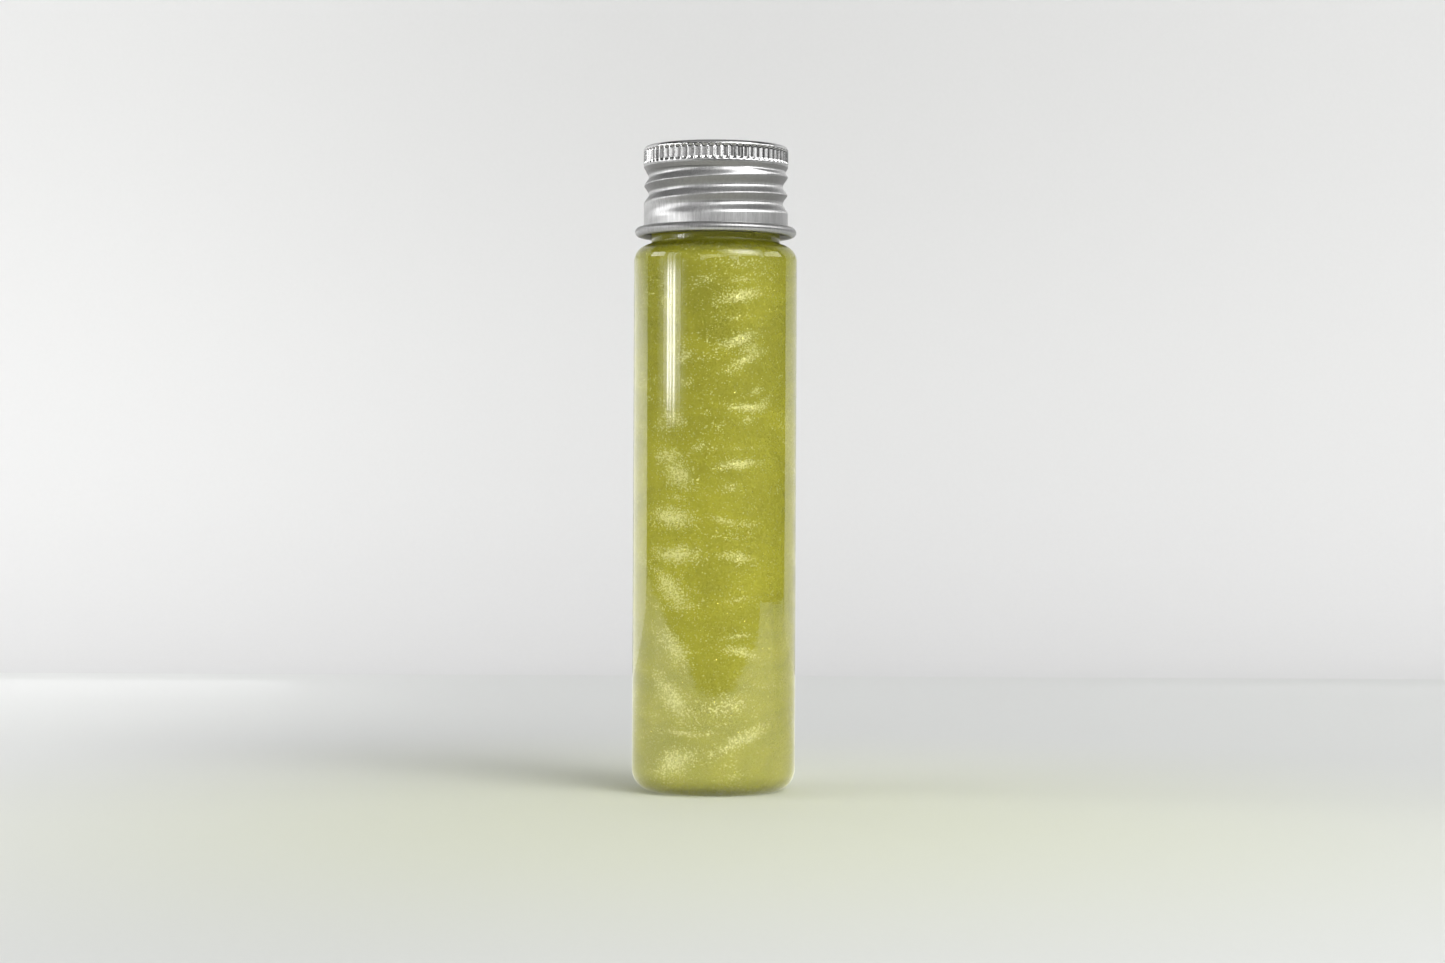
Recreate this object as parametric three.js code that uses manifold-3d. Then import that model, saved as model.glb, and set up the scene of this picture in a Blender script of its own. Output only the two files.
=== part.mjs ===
// A straight-sided glass sample vial, filled with a pearly liquid and closed by a rolled aluminium screw cap.
// Frame: millimetres, +Z up, origin at the centre of the base. The cap is screwed fully home.
// Pieces: glass_vial, shimmer_liquid, liner_facing, liner_backing and cap_shell.
import * as THREE from "three";
import { mergeVertices } from "three/addons/utils/BufferGeometryUtils.js";
import Module from "manifold-3d";

const wasm = await Module();
wasm.setup();

// ---- Driving dimensions ----

const vial = {
  radius: 15, // outside of the tube
  wall: 1.5,
  height: 116.8, // base to lip
  heelRadius: 4,
  floor: 1.8, // glass under the contents, measured above the base ring
  pushUp: 0.5, // how far the middle of the base is raised
  pushUpRadius: 8,
  pushUpFlat: 5.6, // radius of the level middle of that raised part
};
const neck = {
  inset: 3.15, // from the outside of the tube in to the root of the thread
  wall: 2,
  length: 16.5, // lip down to the top of the shoulder
  shoulderRadius: 3.1,
  shoulderTurn: 80, // degrees through which the shoulder bends before the fillet under the neck
  rootFillet: 0.45, // where the neck rises from the shoulder
  lipRadius: 0.8,
  innerLipRadius: 0.4,
};
const thread = {
  pitch: 3.175, // eight turns to the inch, right-handed, one start
  crest: 0.75, // how far the glass thread stands out of the neck
  baseWidth: 1.9, // at the buried root
  crestWidth: 0.6,
  turns: 1.5,
  topBelowLip: 4.65, // lip down to the thread's upper end
  startAngle: -55, // degrees from +X of that upper end
  runOut: 35, // degrees over which each end fades into the neck
  sunk: 0.35, // how deep its root is buried in the neck
  endSunk: 0.14, // how deep the crest dips under the neck's surface at each end
  endWidth: 0.5, // share of its width that is left there
};
const cap = {
  sheet: 0.25, // thickness of the aluminium
  threadClearance: 0.42, // crest of the glass thread out to the inside of the cap's ridges
  rimOverSkirt: 0.03, // how far the knurled rim stands out from the skirt
  cornerRadius: 0.8, // between the rim and the flat top
  bottomAboveShoulder: 1.35, // the gap in which the neck shows
};
const knurl = {
  count: 64,
  depth: 0.42,
  below: 0.65, // flat top down to the upper ends of the flutes
  length: 2.85,
  fade: 0.4, // height over which a flute reaches full depth
};
const groove = {
  depth: 0.92, // how far the helical groove is rolled in from the skirt
  halfWidth: 1.95,
  ringDepth: 0.43, // the shallower round groove under the rim
  ringHalfWidth: 1,
  ringBelowTop: 4.7, // flat top down to the middle of the round groove
  startAngle: 345, // degrees from +X, counted up the helix, where the helical groove begins under the rim
  turns: 2.5,
  runIn: 0.3, // turns over which its upper end deepens
  runOut: 0.42, // turns over which its lower end fades into the skirt
};
const bead = {
  radius: 0.9, // outside of the curled hem's tube
  turn: 305, // degrees that the hem is curled through
};
const liner = {
  backing: 1.05,
  facing: 0.15,
  edgeClearance: 0.12, // to the flutes inside the rim
  chamfer: 0.25, // where the backing is squeezed into the corner of the cap
};
const liquid = {
  clearance: 0.05, // between liquid and glass
  belowLip: 7.2, // air space over the liquid
  meniscus: 0.6, // how far the surface climbs the glass
  meniscusWidth: 2.94, // from the glass in to where the surface is level
};
const seatGap = 0.02; // between faces that rest on each other
const joint = { overlap: 0.2, inset: 0.045 }; // where the skirt's upper end sits inside the crown's wall

const segments = { glass: 48, contents: 36, skirt: 48, threadTurn: 36, arc: 3, smallArc: 2, curl: 6 };
const ringsPerPitch = 6; // how finely the skirt is divided in height; skirt segments are a multiple of it

// ---- Places worked out from them ----

const neckRadius = vial.radius - neck.inset; // root of the thread
const neckBore = neckRadius - neck.wall;
const skirtRadius = neckRadius + thread.crest + cap.threadClearance + cap.sheet; // outside of skirt and ridges
const rimRadius = skirtRadius + cap.rimOverSkirt;
const lip = vial.height;
const shoulderTop = lip - neck.length;
const facingBottom = lip + seatGap;
const backingBottom = facingBottom + liner.facing + seatGap;
const capTop = backingBottom + liner.backing + seatGap + cap.sheet;
const capBottom = shoulderTop + cap.bottomAboveShoulder;
const beadCentre = {
  r: skirtRadius - cap.sheet + bead.radius,
  z: capBottom + bead.radius,
};
const ringMiddle = capTop - groove.ringBelowTop;
const linerRadius = rimRadius - knurl.depth - cap.sheet - liner.edgeClearance;

const radians = (degrees) => (degrees * Math.PI) / 180;
const threadTop = lip - thread.topBelowLip;

// Height of the middle of the glass thread, and of the cap's ridge over it, at an unwrapped angle from +X.
const ridgeHeight = (angle) =>
  threadTop + (thread.pitch * (angle - radians(thread.startAngle))) / (2 * Math.PI);

// ---- Helpers ----

const point = (r, z) => new THREE.Vector2(r, z);

// Points of an arc round (r, z), from one angle to another in degrees, 0 pointing away from the axis.
function arc(r, z, radius, from, to, steps = segments.arc) {
  return Array.from({ length: steps + 1 }, (_, i) => {
    const angle = radians(from + ((to - from) * i) / steps);
    return point(r + radius * Math.cos(angle), z + radius * Math.sin(angle));
  });
}

// A profile turned about +Z. It runs from the bottom of its outer side upwards, or is closed on itself.
function turned(profile, around) {
  return new THREE.LatheGeometry(profile, around).rotateX(Math.PI / 2);
}

// Moves each vertex of a turned shape to the { r, z } that move gives for its angle, r and z. The angle is in
// radians from +X and runs on through a whole turn, so the two edges that meet at the seam are one turn apart.
function moved(geometry, move) {
  const position = geometry.getAttribute("position");
  const { points, segments: around } = geometry.parameters;
  for (let i = 0; i < position.count; i++) {
    const angle = (2 * Math.PI * Math.floor(i / points.length)) / around - Math.PI / 2;
    const profile = points[i % points.length];
    const { r, z } = move(angle, profile.x, profile.y);
    position.setXYZ(i, r * Math.cos(angle), r * Math.sin(angle), z);
  }
  return geometry;
}

function solidOf(geometry) {
  const bare = geometry.clone();
  for (const name of ["normal", "uv"]) bare.deleteAttribute(name);
  const merged = mergeVertices(bare, 1e-4);
  const triangles = [];
  for (let i = 0; i < merged.index.count; i += 3) {
    const [a, b, c] = merged.index.array.slice(i, i + 3);
    if (a !== b && b !== c && c !== a) triangles.push(a, b, c);
  }
  return new wasm.Manifold(
    new wasm.Mesh({
      numProp: 3,
      vertProperties: new Float32Array(merged.getAttribute("position").array),
      triVerts: new Uint32Array(triangles),
    }),
  );
}

function geometryOf(solid) {
  const mesh = solid.getMesh();
  const geometry = new THREE.BufferGeometry();
  geometry.setAttribute("position", new THREE.BufferAttribute(mesh.vertProperties, 3));
  geometry.setIndex(new THREE.BufferAttribute(mesh.triVerts, 1));
  geometry.computeVertexNormals();
  return geometry;
}

const smooth = (t) => {
  const s = THREE.MathUtils.clamp(t, 0, 1);
  return s * s * (3 - 2 * s);
};

// A round-bottomed dent, 1 deep at its middle and 0 from halfWidth away.
const dent = (distance, halfWidth) =>
  Math.abs(distance) < halfWidth ? (1 + Math.cos((Math.PI * distance) / halfWidth)) / 2 : 0;

// ---- Glass vial ----

function vialGeometry() {
  const inner = vial.radius - vial.wall;
  const innerHeel = vial.heelRadius - vial.wall;
  const innerShoulder = neck.shoulderRadius - vial.wall;
  const shoulderCentre = shoulderTop - neck.shoulderRadius;
  const fillet = neck.rootFillet;
  const filletStart = neck.shoulderTurn - 180;
  const innerLip = neck.innerLipRadius;
  const body = turned(
    [
      point(0, vial.pushUp),
      point(vial.pushUpFlat, vial.pushUp),
      point(vial.pushUpRadius, 0),
      ...arc(vial.radius - vial.heelRadius, vial.heelRadius, vial.heelRadius, -90, 0),
      ...arc(vial.radius - neck.shoulderRadius, shoulderCentre, neck.shoulderRadius, 0, neck.shoulderTurn),
      ...arc(neckRadius + fillet, shoulderTop + fillet, fillet, filletStart, -180, segments.smallArc),
      ...arc(neckRadius - neck.lipRadius, lip - neck.lipRadius, neck.lipRadius, 0, 90),
      ...arc(neckBore + innerLip, lip - innerLip, innerLip, 90, 180, segments.smallArc),
      point(neckBore, shoulderTop - vial.wall),
      ...arc(inner - innerShoulder, shoulderCentre, innerShoulder, neck.shoulderTurn, 0),
      ...arc(inner - innerHeel, vial.floor + innerHeel, innerHeel, 0, -90),
      point(0, vial.floor),
    ],
    segments.glass,
  );
  return geometryOf(solidOf(body).add(solidOf(glassThread())));
}

// The thread is a bar with a tapered section, bent round the neck as a helix. Its ends sink into the glass.
function glassThread() {
  const turnsInRadians = 2 * Math.PI * thread.turns;
  const top = radians(thread.startAngle);
  const steps = Math.round(segments.threadTurn * thread.turns);
  const section = new THREE.Shape([
    point(-thread.sunk, -thread.baseWidth / 2),
    point(thread.crest, -thread.crestWidth / 2),
    point(thread.crest, thread.crestWidth / 2),
    point(-thread.sunk, thread.baseWidth / 2),
  ]);
  const bar = new THREE.ExtrudeGeometry(section, { depth: turnsInRadians, steps, bevelEnabled: false });
  const position = bar.getAttribute("position");
  for (let i = 0; i < position.count; i++) {
    const along = position.getZ(i);
    const angle = top - along;
    const fromEnd = Math.min(along, turnsInRadians - along) / radians(thread.runOut);
    const rise = smooth(fromEnd);
    const out = position.getX(i);
    const r = neckRadius + (out > 0 ? THREE.MathUtils.lerp(-thread.endSunk, out, rise) : out);
    const z = ridgeHeight(angle) + position.getY(i) * THREE.MathUtils.lerp(thread.endWidth, 1, rise);
    position.setXYZ(i, r * Math.cos(angle), r * Math.sin(angle), z);
  }
  return bar;
}

// ---- Liquid ----

function liquidGeometry() {
  const gap = liquid.clearance;
  const inner = vial.radius - vial.wall - gap;
  const bore = neckBore - gap;
  const innerHeel = vial.heelRadius - vial.wall - gap;
  const innerShoulder = neck.shoulderRadius - vial.wall - gap;
  const bottom = vial.floor + gap;
  const level = lip - liquid.belowLip;
  const shoulderCentre = shoulderTop - neck.shoulderRadius;
  return turned(
    [
      point(0, bottom),
      ...arc(inner - innerHeel, bottom + innerHeel, innerHeel, -90, 0),
      ...arc(inner - innerShoulder, shoulderCentre, innerShoulder, 0, neck.shoulderTurn),
      point(bore, shoulderTop - vial.wall),
      point(bore, level + liquid.meniscus),
      point(bore - liquid.meniscusWidth / 3, level + liquid.meniscus / 4),
      point(bore - liquid.meniscusWidth, level),
      point(0, level),
    ],
    segments.contents,
  );
}

// ---- Cap liner ----

function facingGeometry() {
  return new THREE.CylinderGeometry(linerRadius, linerRadius, liner.facing, segments.contents)
    .rotateX(Math.PI / 2)
    .translate(0, 0, facingBottom + liner.facing / 2);
}

function backingGeometry() {
  const top = backingBottom + liner.backing;
  return turned(
    [
      point(0, backingBottom),
      point(linerRadius, backingBottom),
      point(linerRadius, top - liner.chamfer),
      point(linerRadius - liner.chamfer, top),
      point(0, top),
    ],
    segments.contents,
  );
}

// ---- Cap shell ----

// How deep the sheet is rolled in at an angle and height: a shallow round groove under the rim, and below it a
// helical groove that runs between the turns of the ridge that covers the glass thread.
function grooveDepth(angle, z) {
  if (z >= ringMiddle) return groove.ringDepth;
  const ring = groove.ringDepth * dent(z - ringMiddle, groove.ringHalfWidth);
  const start = radians(groove.startAngle);
  const end = start - 2 * Math.PI * groove.turns;
  let helix = 0;
  for (let turn = -2; turn <= 2; turn++) {
    const along = angle + 2 * Math.PI * turn;
    const fadeIn = smooth((start - along) / (2 * Math.PI * groove.runIn));
    const fadeOut = smooth((along - end) / (2 * Math.PI * groove.runOut));
    const middle = ridgeHeight(along) - thread.pitch / 2;
    helix = Math.max(helix, groove.depth * fadeIn * fadeOut * dent(z - middle, groove.halfWidth));
  }
  return Math.max(ring, helix);
}

// Flutes pressed into the rim: every second vertex of a ring lies in a flute.
function fluteDepth(angle, z) {
  const upper = smooth((capTop - knurl.below - z) / knurl.fade);
  const lower = smooth((z - (capTop - knurl.below - knurl.length)) / knurl.fade);
  const across = (1 - Math.cos(knurl.count * (angle + Math.PI / 2))) / 2;
  return knurl.depth * Math.min(upper, lower) * across;
}

// Flat top and fluted rim. Under the rim its wall tapers in to the round groove, where it ends.
function crown() {
  const inside = rimRadius - cap.sheet;
  const under = capTop - cap.sheet;
  const innerCorner = cap.cornerRadius - cap.sheet;
  const grooveOutside = skirtRadius - groove.ringDepth;
  const grooveInside = grooveOutside - cap.sheet;
  const end = ringMiddle + seatGap;
  const taperEnd = ringMiddle + joint.overlap + seatGap;
  const fluteTop = capTop - knurl.below;
  const fluteBottom = fluteTop - knurl.length;
  const heights = [fluteBottom, fluteBottom + knurl.fade, fluteTop - knurl.fade];
  const shape = turned(
    [
      point(0, under),
      ...arc(inside - innerCorner, under - innerCorner, innerCorner, 90, 0, segments.smallArc),
      ...heights.toReversed().map((z) => point(inside, z)),
      point(grooveInside, taperEnd),
      point(grooveInside, end),
      point(grooveOutside, end),
      point(grooveOutside, taperEnd),
      ...heights.map((z) => point(rimRadius, z)),
      ...arc(rimRadius - cap.cornerRadius, capTop - cap.cornerRadius, cap.cornerRadius, 0, 90),
      point(0, capTop),
    ],
    2 * knurl.count,
  );
  return moved(shape, (angle, r, z) => ({ r: Math.max(0, r - fluteDepth(angle, z)), z }));
}

// Threaded wall and curled hem, as one closed strip of sheet. Its top is thinned to sit inside the end of the
// crown. The threaded part's rings climb with the helix, from one turn below it, and stop at its two ends.
function skirt() {
  const outside = skirtRadius;
  const inside = skirtRadius - cap.sheet;
  const step = thread.pitch / ringsPerPitch;
  const threadEnd = ridgeHeight(radians(groove.startAngle - 360 * groove.turns)) - thread.pitch;
  const rings = Math.round((ringMiddle - threadEnd) / step);
  const high = ringMiddle - joint.overlap / 2;
  const low = high - rings * step;
  const heights = Array.from({ length: rings + ringsPerPitch + 1 }, (_, i) => high - i * step);
  const joined = [ringMiddle + joint.overlap, ringMiddle];
  const curlEnd = 180 + bead.turn;
  const strip = [
    ...joined.map((z) => point(outside - joint.inset, z)),
    ...heights.map((z) => point(outside, z)),
    ...arc(beadCentre.r, beadCentre.z, bead.radius - cap.sheet, 180, curlEnd, segments.curl),
    ...arc(beadCentre.r, beadCentre.z, bead.radius, curlEnd, 180, segments.curl),
    ...heights.toReversed().map((z) => point(inside, z)),
    ...joined.toReversed().map((z) => point(inside + joint.inset, z)),
  ];
  const shape = turned([...strip, strip[0].clone()].toReversed(), segments.skirt);
  const threaded = new Set(heights);
  return moved(shape, (angle, r, z) => {
    const climb = (thread.pitch * (angle + Math.PI / 2)) / (2 * Math.PI);
    const height = threaded.has(z) ? THREE.MathUtils.clamp(z + climb, low, high) : z;
    return { r: height < low ? r : r - grooveDepth(angle, height), z: height };
  });
}

function capGeometry() {
  return geometryOf(solidOf(crown()).add(solidOf(skirt())));
}

// ---- Assembly ----

const material = (color, roughness, metalness, extra = {}) =>
  new THREE.MeshStandardMaterial({ color, roughness, metalness, ...extra });
const finishes = {
  glass: material(0xe6efe6, 0.05, 0, { transparent: true, opacity: 0.35 }),
  liquid: material(0xa3a035, 0.35, 0.1),
  aluminium: material(0xc4c5c3, 0.38, 1),
  film: material(0xf2f2ef, 0.3, 0),
  foam: material(0xe9e8e3, 0.9, 0),
};

function named(name, geometry, finish) {
  const mesh = new THREE.Mesh(geometry, finish);
  mesh.name = name;
  return mesh;
}

const group = new THREE.Group();
group.add(
  named("glass_vial", vialGeometry(), finishes.glass),
  named("shimmer_liquid", liquidGeometry(), finishes.liquid),
  named("liner_facing", facingGeometry(), finishes.film),
  named("liner_backing", backingGeometry(), finishes.foam),
  named("cap_shell", capGeometry(), finishes.aluminium),
);

export default group;
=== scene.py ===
"""Looks for a slim glass sample vial, full of pearly liquid and closed by a rolled aluminium screw cap."""

import math

import bmesh
import bpy
from mathutils import Matrix, Vector, noise


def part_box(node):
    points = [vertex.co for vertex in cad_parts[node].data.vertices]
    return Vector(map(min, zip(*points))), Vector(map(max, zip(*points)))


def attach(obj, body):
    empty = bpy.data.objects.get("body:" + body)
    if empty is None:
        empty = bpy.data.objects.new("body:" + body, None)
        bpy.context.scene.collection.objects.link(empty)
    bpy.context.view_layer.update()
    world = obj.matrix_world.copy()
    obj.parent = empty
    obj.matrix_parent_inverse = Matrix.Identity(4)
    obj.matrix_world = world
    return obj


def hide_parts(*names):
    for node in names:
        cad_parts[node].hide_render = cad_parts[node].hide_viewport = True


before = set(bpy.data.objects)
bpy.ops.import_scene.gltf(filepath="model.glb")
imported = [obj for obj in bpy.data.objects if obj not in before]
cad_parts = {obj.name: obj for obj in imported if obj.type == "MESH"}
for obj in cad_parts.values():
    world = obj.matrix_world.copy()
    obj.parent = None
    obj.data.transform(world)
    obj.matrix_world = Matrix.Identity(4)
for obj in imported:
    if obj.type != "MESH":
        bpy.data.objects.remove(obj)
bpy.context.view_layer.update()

MM = 0.001
FULL_TURN = 2 * math.pi
ON_AXIS = 1e-9

# ---- Sizes, in millimetres, as the frame has them ----

def node_corners(node):
    """The low and high corners of a node's box."""
    return [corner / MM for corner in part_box(node)]


VIAL_HIGH = node_corners("glass_vial")[1]
CAP_LOW, CAP_HIGH = node_corners("cap_shell")
BACKING_LOW, BACKING_HIGH = node_corners("liner_backing")
FACING_LOW, FACING_HIGH = node_corners("liner_facing")
LIQUID_HIGH = node_corners("shimmer_liquid")[1]

VIAL_RADIUS = VIAL_HIGH.x
LIP = VIAL_HIGH.z
WALL = 1.5
FLOOR = 1.8
HEEL_RADIUS = 4.0
PUSH_UP, PUSH_UP_RADIUS = 0.5, 8.0
NECK_RADIUS, NECK_BORE = 11.85, 9.85
SHOULDER_TOP, SHOULDER_RADIUS = LIP - 16.5, 3.1
ROOT_FILLET = 0.45
LIP_RADIUS = 0.8
BODY_TOP = SHOULDER_TOP - SHOULDER_RADIUS
INNER_RADIUS, INNER_HEEL, INNER_SHOULDER = VIAL_RADIUS - WALL, HEEL_RADIUS - WALL, SHOULDER_RADIUS - WALL

PITCH = 3.175
THREAD_TOP, THREAD_START = LIP - 4.65, math.radians(-55)
THREAD_TURNS, THREAD_RUN_OUT = 1.5, math.radians(35)
THREAD_RISE, THREAD_HALF_WIDTH, THREAD_STEEPNESS = 0.75, 0.82, 1.45

CAP_TOP = CAP_HIGH.z
SHEET = 0.25
SKIRT_RADIUS = 13.27
RIM_RADIUS, RIM_CORNER = 13.3, 0.8
FLUTES, FLUTE_DEPTH = 64, 0.42
FLUTE_TOP, FLUTE_BOTTOM, FLUTE_FADE = CAP_TOP - 0.65, CAP_TOP - 3.5, 0.4
RING_MIDDLE, RING_HALF_WIDTH, RING_DEPTH = CAP_TOP - 4.7, 1.0, 0.43
GROOVE_DEPTH, GROOVE_HALF_WIDTH = 0.92, 1.95
GROOVE_START, GROOVE_TURNS = math.radians(345), 2.5
GROOVE_RUN_IN, GROOVE_RUN_OUT = 0.3, 0.42
BEAD_RADIUS, BEAD_TURN = 0.9, 305
BEAD_MIDDLE = (SKIRT_RADIUS - SHEET + BEAD_RADIUS, CAP_LOW.z + BEAD_RADIUS)

LINER_RADIUS = BACKING_HIGH.x
LIQUID_TOP = LIQUID_HIGH.z


# ---- Turning profiles into closed pieces ----


def arc(r, z, radius, start, end, steps):
    """Points round (r, z) from one angle to another, in degrees; 0 points away from the axis."""
    angles = [math.radians(start + (end - start) * i / steps) for i in range(steps + 1)]
    return [(r + radius * math.cos(a), z + radius * math.sin(a)) for a in angles]


def stepped(first, last, step):
    """Points on a straight line of a profile, close enough together to be shaped further."""
    count = max(1, round(math.dist(first, last) / step))
    return [
        (first[0] + (last[0] - first[0]) * i / count, first[1] + (last[1] - first[1]) * i / count)
        for i in range(count + 1)
    ]


def turned(name, profile, around, shape=None):
    """A closed surface of revolution.

    The profile, in millimetres, starts and ends on the axis or closes on itself. around is the number of
    segments, or a list with one for each ring, each the same as, double or half its neighbour.
    shape(angle, r, z) gives a ring vertex's final r and z.
    """
    form = bmesh.new()
    closed_by_axis = profile[0][0] < ON_AXIS
    counts = around if isinstance(around, list) else [around] * len(profile)
    rings = []
    for (r, z), count in zip(profile, counts):
        if r < ON_AXIS:
            rings.append([form.verts.new((0, 0, z * MM))])
            continue
        ring = []
        for i in range(count):
            angle = FULL_TURN * i / count - math.pi / 2
            ring_r, ring_z = shape(angle, r, z) if shape else (r, z)
            x, y = ring_r * MM * math.cos(angle), ring_r * MM * math.sin(angle)
            ring.append(form.verts.new((x, y, ring_z * MM)))
        rings.append(ring)
    pairs = list(zip(rings, rings[1:])) + ([] if closed_by_axis else [(rings[-1], rings[0])])
    for low, high in pairs:
        join_rings(form, low, high)
    bmesh.ops.recalc_face_normals(form, faces=form.faces)
    mesh = bpy.data.meshes.new(name)
    form.to_mesh(mesh)
    form.free()
    mesh.shade_smooth()
    made = bpy.data.objects.new(name, mesh)
    bpy.context.scene.collection.objects.link(made)
    return made


def join_rings(form, low, high):
    """Faces between two rings, of which one may be a point on the axis or have half as many vertices."""
    most = max(len(low), len(high))
    for i in range(most):
        j = (i + 1) % most
        a, b = low[i * len(low) // most], low[j * len(low) // most]
        c, d = high[j * len(high) // most], high[i * len(high) // most]
        corners = [v for n, v in enumerate((a, b, c, d)) if v not in (a, b, c, d)[:n]]
        if len(corners) > 2:
            form.faces.new(corners)


def smooth(t):
    t = min(1.0, max(0.0, t))
    return t * t * (3 - 2 * t)


# ---- Node trees ----


class Wiring:
    """A node tree, with short ways to add nodes and to do sums on their sockets."""

    def __init__(self, tree):
        self.tree = tree

    def add(self, kind, inputs=None, **settings):
        node = self.tree.nodes.new(kind)
        for key, value in settings.items():
            setattr(node, key, value)
        for key, value in (inputs or {}).items():
            self.feed(node.inputs[key], value)
        return node

    def feed(self, socket, value):
        if isinstance(value, bpy.types.NodeSocket):
            self.tree.links.new(value, socket)
        else:
            socket.default_value = value

    def sum(self, operation, *values, clamp=False):
        kind = "ShaderNodeMath"
        return self.add(kind, dict(enumerate(values)), operation=operation, use_clamp=clamp).outputs[0]

    def vector(self, operation, *values):
        node = self.add("ShaderNodeVectorMath", operation=operation)
        for socket, value in zip(node.inputs, values):
            self.feed(socket, value)
        return node.outputs["Value" if operation in ("LENGTH", "DOT_PRODUCT") else "Vector"]

    def split(self, vector):
        return self.add("ShaderNodeSeparateXYZ", {"Vector": vector}).outputs

    def fade(self, value, low, high, start=0.0, end=1.0):
        """A smooth step that goes from start to end as value goes from low to high."""
        inputs = {"Value": value, "From Min": low, "From Max": high, "To Min": start, "To Max": end}
        return self.add("ShaderNodeMapRange", inputs, interpolation_type="SMOOTHSTEP").outputs["Result"]

    def scaled(self, value, low, high, start=0.0, end=1.0):
        inputs = {"Value": value, "From Min": low, "From Max": high, "To Min": start, "To Max": end}
        return self.add("ShaderNodeMapRange", inputs).outputs["Result"]

    def blend(self, share, first, second, mode="MIX"):
        node = self.add("ShaderNodeMix", data_type="RGBA", blend_type=mode)
        for socket, value in zip((node.inputs[0], node.inputs[6], node.inputs[7]), (share, first, second)):
            self.feed(socket, value)
        return node.outputs[2]

    def noise(self, vector, scale, detail=3.0, roughness=0.5, distortion=0.0):
        inputs = {"Vector": vector, "Scale": scale, "Detail": detail}
        inputs |= {"Roughness": roughness, "Distortion": distortion}
        return self.add("ShaderNodeTexNoise", inputs).outputs["Fac"]


def group(name, kind, inputs, outputs):
    """An empty node group: inputs give each socket's type and first value, outputs each one's type."""
    tree = bpy.data.node_groups.new(name, kind)
    for label, (socket_type, value) in inputs.items():
        socket = tree.interface.new_socket(label, in_out="INPUT", socket_type=socket_type)
        if value is not None:
            socket.default_value = value
    for label, socket_type in outputs.items():
        tree.interface.new_socket(label, in_out="OUTPUT", socket_type=socket_type)
    wires = Wiring(tree)
    return wires, wires.add("NodeGroupInput").outputs, wires.add("NodeGroupOutput").inputs


FLOAT, VECTOR, INTEGER = "NodeSocketFloat", "NodeSocketVector", "NodeSocketInt"


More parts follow.
